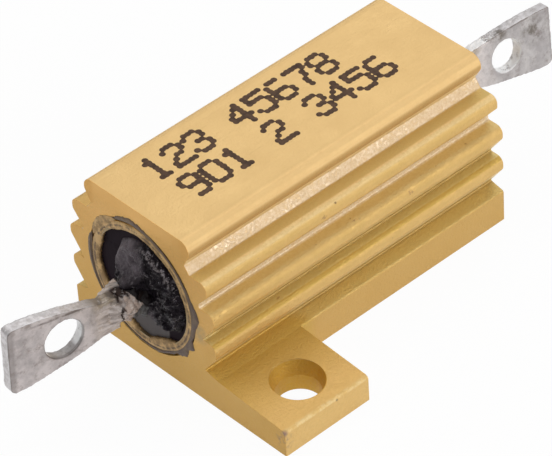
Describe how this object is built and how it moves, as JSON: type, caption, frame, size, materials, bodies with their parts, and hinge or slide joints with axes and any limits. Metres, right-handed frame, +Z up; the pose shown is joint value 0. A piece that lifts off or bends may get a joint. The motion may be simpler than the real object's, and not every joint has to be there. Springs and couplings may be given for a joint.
{
  "type": "wirewound resistor",
  "caption": "Wirewound power resistor in a finned gold-anodised aluminium housing with two mounting feet and flat solder-lug terminals at the ends.",
  "frame": {"origin": "centre of the housing's mounting face", "axes": "+X along the terminals, +Z up out of the mounting face through the flat plate; one foot is at -X -Y, the other at +X +Y"},
  "size_m": [0.0366, 0.0204, 0.01],
  "materials": {
    "anodised_aluminium": "gold anodised, matt satin, lightly marked",
    "black_moulding": "black, smooth, slightly glossy",
    "black_cement": "black, lumpy, glossy",
    "ceramic": "unglazed",
    "resistance_alloy": "drawn wire",
    "cap_steel": "drawn",
    "tinned_metal": "dull tinned, scratched"
  },
  "bodies": {
    "root": {"housing": "anodised_aluminium", "insulator": "black_moulding", "ceramic_core": "ceramic", "resistance_winding": "resistance_alloy", "end_cap_front": "cap_steel", "end_cap_rear": "cap_steel", "terminal_front": "tinned_metal", "terminal_rear": "tinned_metal", "end_seal_front": "black_cement", "end_seal_rear": "black_cement"}
  },
  "joints": []
}
